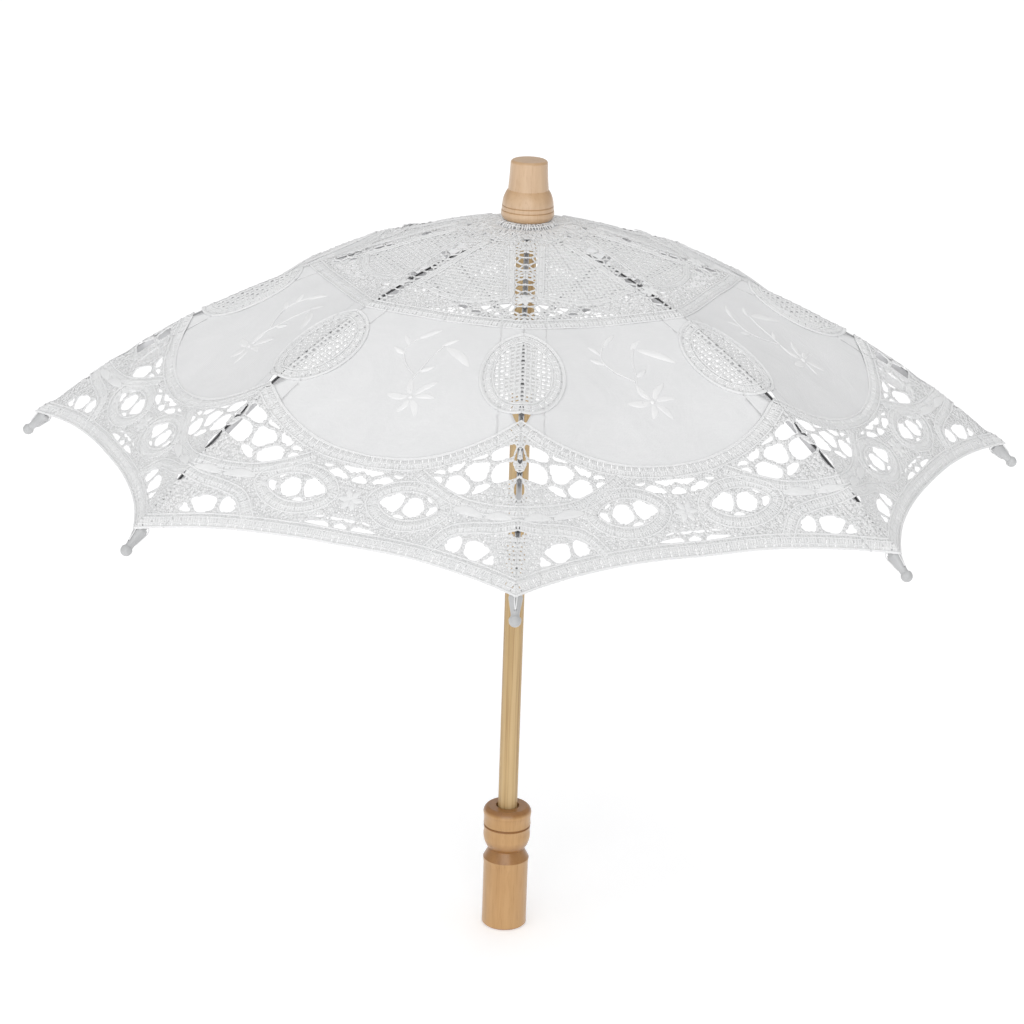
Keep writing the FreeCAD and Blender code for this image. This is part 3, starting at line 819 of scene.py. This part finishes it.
CROWN_OPENING = [(65.0, -24.0), (70.2, -12.0), (71.0, 0.0), (70.2, 12.0), (65.0, 24.0), (76.8, 24.6),
                 (77.2, 0.0), (76.8, -24.6)]
GATHER_OPENING = [(10.5, -4.0), (10.5, 4.0), (21.0, 6.2), (21.0, -6.2)]


def openings():
    """The open cells of the crown and those of the lower band."""
    crown = cells(CROWN_OPENING, 9.0, SEED, 1.4) + cells(GATHER_OPENING, 3.1, SEED + 2, 1.5, 1.2)
    lower = []
    parted_openings = ((SIDE_OPENING, 11.5), (TOP_OPENING, 12.0), (LOW_OPENING, 12.0), (CORNER_OPENING, 10.5),
                       (eye(6.9, 13.2, 12), 11.5))
    for number, (guides, spacing) in enumerate(parted_openings):
        lower += cells(guides, spacing, SEED + 5 + number, 1.3)
    for s, long_half, wide_half in RIB_OPENINGS:
        (crown if s < 100 else lower).append(eased(half_oval(s, long_half, wide_half, 6, 1.5), 0.15))
    return crown, lower


def ending_before(s, holes):
    return [hole for hole in holes if hole[:, 0].max() < s]


def lace_crown(ground, sewn, holes):
    """A dense petal of net between the ribs, uneven dense lace beside it, the gathers and the border."""
    rib_side = [on_rib(s, RIB_STRIP) for s in (22, 30, 40, 48, 56, 61)]
    petal = [(9.5, 0.0), (13.0, 0.6)] + rib_side + [(64.2, 17.5), (66.8, 12.0), (68.6, 6.0), (69.2, -2.0)]
    petal_line = smooth(petal, 1.0)
    shut = [np.vstack([petal_line, [[9.5, -2.0]]])] + ending_before(24, holes)
    net(sewn, shut, math.pi / 2, 2.2, 1.2, 0.2, 2.0)
    net(sewn, shut, 0.0, 2.0, 1.05, 0.2, 2.2)
    tape(sewn, petal[2:], 3.2, pitch=1.1, cords=(-1, 1))
    crown = np.vstack([past_rib(10, 84), [[84.0, -2.0]], petal_line[::-1][:-6]])
    bars(ground, [crown] + holes, 2.5, SEED + 3, 0.9, 0.13, 3.0)
    for hole in holes:
        if hole[:, 0].max() > 24:
            bars(ground, [hole], 5.6, SEED + 8, 0.55, 0.24, 1.2)
    gather = np.array([(INNER_S, -2.0), on_rib(INNER_S, PAST_RIB), on_rib(19.0, PAST_RIB), (19.0, -2.0)])
    net(sewn, [gather] + ending_before(30, holes), 0.0, 1.25, 0.9, 0.4, 2.2)
    border = [(BORDER_S, -2.0), (BORDER_S, 12.0), (BORDER_S + 0.2, 24.0), on_rib(BORDER_S + 0.6, PAST_RIB)]
    tape(sewn, border, 6.0, pitch=1.3)


def lace_band(ground, sewn, holes):
    """Dense uneven lace with open cells, and tapes round the medallion, the eyes, the rib and the hem."""
    foot_tape = [on_rib(140.3, PAST_RIB), (146.9, 52.3), (152.4, 46.3), (158.6, 37.4), (163.6, 27.1),
                 (167.0, 14.4), (168.6, -2.0)]
    hem_line = [(float(hem_edge(y)) - 3.5, y) for y in (-2.0, 12.0, 25.0, 38.0, 51.0, 62.0, 71.0, 78.0, 84.5)]
    band = np.vstack([smooth(foot_tape, 2.0)[::-1], past_rib(141, 216), smooth(hem_line, 3.0)[::-1]])
    bars(ground, [band] + holes, 2.1, SEED, 1.12, 0.17, 3.0)
    tape(sewn, foot_tape, 6.2)
    cord_line(sewn, MEDALLION_FOOT + [(165.6, -2.0)], 0.5, 0.35)
    tape(sewn, eye(9.6, 16.0), 6.0, True, 1.15)
    tape(sewn, [(169.5, 23.0), (176.5, 34.5), (181.4, 46.5), (182.8, 60.0), on_rib(182.6, PAST_RIB)], 5.6)
    tape(sewn, [on_rib(188.0, PAST_RIB), (190.4, 66.0), (192.0, 54.5), (195.0, 46.0), (204.5, 39.5)], 5.6)
    for start, tip, width in (((184.5, 44.0), (186.6, 57.5), 4.2), ((186.4, 58.5), (186.0, 70.0), 4.0)):
        leaf(sewn, start, tip, width, 0.8, 0.5, 0.45, THREAD_FINISH, split=True)
    tape(sewn, hem_line, 7.0, pitch=1.15, cords=(-1, -0.4, 0.4, 1))
    cord_line(sewn, [(s + 3.3, y) for s, y in hem_line], 0.5, 0.2)


def lace_half():
    """Half a gore from its middle to the rib line, as ground and tapes. What overruns is trimmed later."""
    ground, sewn = Work(), Work()
    medallion(ground)
    crown_holes, lower_holes = openings()
    middle, along, _ = rib_frame(ROUNDEL_S)
    angle = math.atan2(along[1], along[0])
    inside = [roundel(ROUNDEL_TAPE - 0.8, 40, 1.2)]
    net(ground, inside, angle, 2.15, 1.0, 0.3, 2.4, middle)
    net(ground, inside, angle + math.pi / 2, 2.4, 1.2, 0.3, 2.15, middle)
    tape(sewn, roundel(ROUNDEL_TAPE / 2, 16, 1.0), ROUNDEL_TAPE, pitch=1.15, cords=(-1, -0.35, 0.35, 1))
    cord_line(sewn, roundel(-0.2, 24, 1.0), 0.6, 0.5)
    lace_crown(ground, sewn, crown_holes)
    lace_band(ground, sewn, lower_holes)
    for hole in crown_holes + lower_holes:
        cord_line(ground, hole[::2], 0.27, 0.14, True)
    return ground, sewn


def away(start, distance, angle):
    return (start[0] + distance * math.cos(angle), start[1] + distance * math.sin(angle))


def star(work, middle, size):
    """A small star of six satin points round a knot."""
    for number in range(6):
        tip = away(middle, size, math.pi * (number + 0.5) / 3)
        leaf(work, middle, tip, size * 0.5, 0.0, 0.45, 0.3, THREAD_FINISH)


def embroidery():
    """The flower, leaves and stems on the medallion, over the whole gore."""
    work = Work()
    flower = (132.0, 4.5)
    petals = ((-160, 11.0, 3.2), (-92, 11.5, 3.8), (-18, 9.5, 3.0),
              (30, 11.5, 3.2), (96, 10.5, 2.8), (140, 13.0, 3.0))
    for degrees, size, width in petals:
        angle = math.radians(degrees)
        leaf(work, away(flower, 1.6, angle), away(flower, size, angle), width, 0.7, 0.5, split=True)
    leaf(work, (132.0, 3.4), (132.0, 5.6), 2.2, 0.0, 0.7)
    for stem in ([(129.5, 3.4), (124.0, 0.8), (116.0, 2.5), (108.0, 4.0), (101.0, 7.0)],
                 [(120.0, 1.2), (113.0, -6.0), (106.0, -9.0), (99.0, -6.5), (93.0, -2.0)]):
        cord_line(work, stem, 0.3, 0.3, False, SATIN_FINISH, 0.8)
    for start, tip, width, bend in (
        ((101.5, 8.0), (111.5, 22.5), 4.2, 1.0),
        ((101.0, 6.0), (96.0, 12.5), 2.4, 0.5),
        ((98.0, -5.5), (91.0, 2.0), 2.4, 0.4),
        ((103.0, -8.5), (97.0, -13.0), 2.3, -0.4),
        ((108.0, -8.0), (105.0, -14.5), 2.4, 0.4),
        ((117.0, 2.2), (113.5, 8.0), 2.2, -0.3),
    ):
        leaf(work, start, tip, width, bend)
    star(work, (187.6, 0.0), 5.6)
    return work


def sliced(arrays, measure, restore, cuts):
    """What is left of closed meshes after cuts at levels of a measure across the gore, kept closed."""
    points, faces, marks = arrays
    levelled = points.copy()
    levelled[:, 1] = measure(points)
    source = build_mesh("slice", levelled, faces, marks, points)
    mesh = bmesh.new()
    mesh.from_mesh(source)
    bpy.data.meshes.remove(source)
    for level, outward in cuts:
        everything = mesh.verts[:] + mesh.edges[:] + mesh.faces[:]
        cut = bmesh.ops.bisect_plane(mesh, geom=everything, dist=1e-7, plane_co=(0, level, 0),
                                     plane_no=(0, outward, 0), clear_outer=True)
        edges = [e for e in cut["geom_cut"] if isinstance(e, bmesh.types.BMEdge)]
        for face in bmesh.ops.edgenet_fill(mesh, edges=edges)["faces"]:
            beside = [f for f in face.edges[0].link_faces if f is not face]
            face.material_index = beside[0].material_index if beside else THREAD_FINISH
            face.smooth = False
    bmesh.ops.recalc_face_normals(mesh, faces=mesh.faces[:])
    bmesh.ops.triangulate(mesh, faces=[f for f in mesh.faces if len(f.verts) > 4])
    mesh.verts.index_update()
    kept = np.array([v.co for v in mesh.verts])
    kept[:, 1] = restore(kept)
    corners = [[v.index for v in f.verts] for f in mesh.faces]
    quads = np.array([c if len(c) == 4 else c + c[-1:] for c in corners])
    kept_marks = np.array([f.material_index + (0 if f.smooth else FLAT) for f in mesh.faces])
    mesh.free()
    return kept, quads, kept_marks


def trimmed(work, side):
    """The part of the work between the gore's middle and the rib line, on one side of the middle."""
    return sliced(work.arrays(), lambda p: p[:, 1] / rib_line(p[:, 0]), lambda p: p[:, 1] * rib_line(p[:, 0]),
                  ((0.0, -side), (float(side), side)))


def parted(arrays):
    """The part of half a gore away from the rib, and the strip beside the rib."""
    def from_rib(points):
        return rib_line(points[:, 0]) - points[:, 1]
    return [sliced(arrays, from_rib, from_rib, ((STRIP_ACROSS, outward),)) for outward in (-1, 1)]


# ---- the lace pieces


def build_mesh(name, points, faces, finishes, flat):
    """A mesh from quads; one that repeats its last corner is a triangle. The flat place becomes its UV."""
    mesh = bpy.data.meshes.new(name)
    sizes = np.where(faces[:, 2] == faces[:, 3], 3, 4)
    keep = np.ones(faces.shape, bool)
    keep[:, 3] = sizes == 4
    loops = faces[keep]
    mesh.vertices.add(len(points))
    mesh.vertices.foreach_set("co", points.astype(np.float32).ravel())
    mesh.loops.add(len(loops))
    mesh.loops.foreach_set("vertex_index", loops.astype(np.int32))
    mesh.polygons.add(len(faces))
    starts = np.concatenate([[0], np.cumsum(sizes)[:-1]])
    mesh.polygons.foreach_set("loop_start", starts.astype(np.int32))
    mesh.polygons.foreach_set("material_index", (finishes % FLAT).astype(np.int32))
    mesh.polygons.foreach_set("use_smooth", finishes < FLAT)
    uv = mesh.uv_layers.new(name="flat")
    uv.data.foreach_set("uv", (flat[loops, :2] * MM).astype(np.float32).ravel())
    mesh.update(calc_edges=True)
    mesh.validate()
    return mesh


def show(name, mesh, *materials):
    piece = bpy.data.objects.new(name, mesh)
    bpy.context.scene.collection.objects.link(piece)
    for material in materials:
        mesh.materials.append(material)
    return piece


def join(first, second):
    points, faces, marks = second
    added = (points, faces + len(first[0]), marks)
    return [np.concatenate(both) for both in zip(first, added)]


def mirrored(half):
    """The same work on the other side of the middle, with its faces still facing out."""
    points, faces, marks = half
    turned = faces[:, [3, 2, 1, 0]]
    triangles = faces[:, 2] == faces[:, 3]
    turned[triangles] = faces[triangles][:, [2, 1, 0, 0]]
    return points * np.array([1, -1, 1]), turned, marks


def make_lace():
    """The sixteen half gores, each with the strip beside the rib as pieces of its own."""
    ground, sewn = lace_half()
    ground_far, ground_near = parted(trimmed(ground, 1))
    sewn_far, sewn_near = parted(trimmed(sewn, 1))
    flower, rib_star = embroidery(), Work()
    star(rib_star, on_rib(65.0), 4.4)
    kinds = (
        ("lace", {1: ground_far, -1: mirrored(ground_far)}),
        ("lace_tape", {1: join(sewn_far, trimmed(flower, 1)),
                       -1: join(mirrored(sewn_far), trimmed(flower, -1))}),
        ("rib_lace", {1: ground_near, -1: mirrored(ground_near)}),
        ("rib_tape", {1: join(sewn_near, rib_star.arrays()), -1: mirrored(sewn_near)}),
    )
    for rib in range(1, RIBS + 1):
        for side, label in ((1, "left"), (-1, "right")):
            gore = (rib - 2) % RIBS + 1 if side == 1 else rib
            for kind, sides in kinds:
                flat, faces, marks = sides[side]
                name = f"{kind}_{label}_{rib}"
                mesh = build_mesh(name, place(flat, gore), faces, marks, flat)
                piece = show(name, mesh, THREAD, CLOTH, SATIN)
                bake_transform(piece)
            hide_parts(f"canopy_{label}_{rib}")


make_lace()


# ---- gathering, ties and knots


def tube(work, line, radius, sides=6):
    """A closed round thread along a line in space."""
    along = np.gradient(line, axis=0)
    along /= np.linalg.norm(along, axis=1)[:, None]
    side = np.cross(along, [0.0, 0.0, 1.0])
    weak = np.linalg.norm(side, axis=1) < 0.2
    side[weak] = np.cross(along[weak], [1.0, 0.0, 0.0])
    for i in range(1, len(side)):
        if side[i] @ side[i - 1] < 0:
            side[i] = -side[i]
    side /= np.linalg.norm(side, axis=1)[:, None]
    other = np.cross(side, along)
    angle = 2 * math.pi * np.arange(sides)[:, None] / sides
    ring = line[:, None, :] + radius * (side[:, None, :] * np.cos(angle) + other[:, None, :] * np.sin(angle))
    ends = end_caps(len(line), sides)
    faces = np.vstack([grid(len(line), sides).reshape(-1, 4), ends])
    work.add(ring.reshape(-1, 3), faces, THREAD_FINISH, len(ends))


def show_thread(name, work, body):
    points, faces, marks = work.arrays()
    piece = show(name, build_mesh(name, points * MM, faces, marks, points), THREAD)
    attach(piece, body)


def by_tip(route, rib):
    """Points given by how far back from the end of a rib's arc, how high over it and how far to one side."""
    back, rise, lateral = np.array(route).T
    turn = END_TURN - back / RIB_ARC
    radius = ARC_X + (RIB_ARC + rise) * np.sin(turn)
    height = ARC_Z + (RIB_ARC + rise) * np.cos(turn)
    return swung(radius, lateral, height, rib_azimuth(rib))


def make_ties():
    """At each tip a thread sews the corner of the lace to the eyelet of the cap, in two loops with a knot."""
    for rib in range(1, RIBS + 1):
        work = Work()
        for lean in (-0.42, 0.42):
            route = [(12.6, 2.2, 1.6 * lean), (11.4, 3.35, 1.8 * lean), (9.6, 3.2, 1.2 * lean),
                     (7.0, 2.75, lean), (5.0, 2.35, 0.5 * lean), (4.1, 1.9, 0.3 * lean),
                     (4.0, 0.0, 0.25 * lean), (4.1, -1.9, 0.3 * lean), (5.2, -2.4, 0.6 * lean),
                     (8.0, -2.8, 1.4 * lean), (10.6, -3.1, 2.2 * lean), (12.0, -1.6, 5.2 * lean),
                     (12.6, 1.0, 5.6 * lean), (12.8, 2.6, 3.0 * lean)]
            tube(work, spline(by_tip(route, rib), 5), 0.24)
        for number in range(3):
            a = np.linspace(0.4 * number, 0.4 * number + 5.6, 12)
            rise = 2.75 + 0.21 * number + 0.2 * np.sin(2 * a)
            knot = np.column_stack([12.2 + 0.5 * np.cos(a), rise, 0.85 * np.sin(a)])
            tube(work, by_tip(knot, rib), 0.27)
        show_thread(f"tip_tie_{rib}", work, f"rib_body_{rib}")


GATHER_PLEATS = 64


def make_crown_gather():
    """The gathered top of the lace: uneven pleats of thread from under the finial down onto the cover."""
    work = Work()
    rng = np.random.default_rng(SEED)
    for number in range(GATHER_PLEATS):
        azimuth = 2 * math.pi * (number + rng.uniform(-0.25, 0.25)) / GATHER_PLEATS
        rise = rng.uniform(-0.25, 0.3)
        reach = rng.uniform(-0.7, 0.9)
        route = [(8.8, 341.0), (9.8, 341.5 + rise), (11.0, 341.5 + rise),
                 (12.1 + 0.5 * reach, 340.8 + 0.5 * rise), (13.0 + reach, 339.8)]
        line = []
        for step, (radius, height) in enumerate(route):
            turn = azimuth + 0.02 * math.sin(step * 1.9 + number)
            line.append((radius * math.cos(turn), radius * math.sin(turn), height))
        tube(work, spline(line, 3), rng.uniform(0.24, 0.42))
    for radius, height, size, count in ((10.3, 341.6, 0.30, 29), (11.9, 341.0, 0.26, 34)):
        angle = np.linspace(0, 2 * math.pi, count * 3 + 1)
        bob = 0.22 * np.cos(angle * count) + 0.2 * np.sin(angle * 5) + 0.15 * np.sin(angle * 8 + 1)
        reach = radius + bob
        tube(work, np.column_stack([reach * np.cos(angle), reach * np.sin(angle), height + 0.7 * bob]), size)
    show_thread("crown_gather", work, "stick")


make_ties()
make_crown_gather()
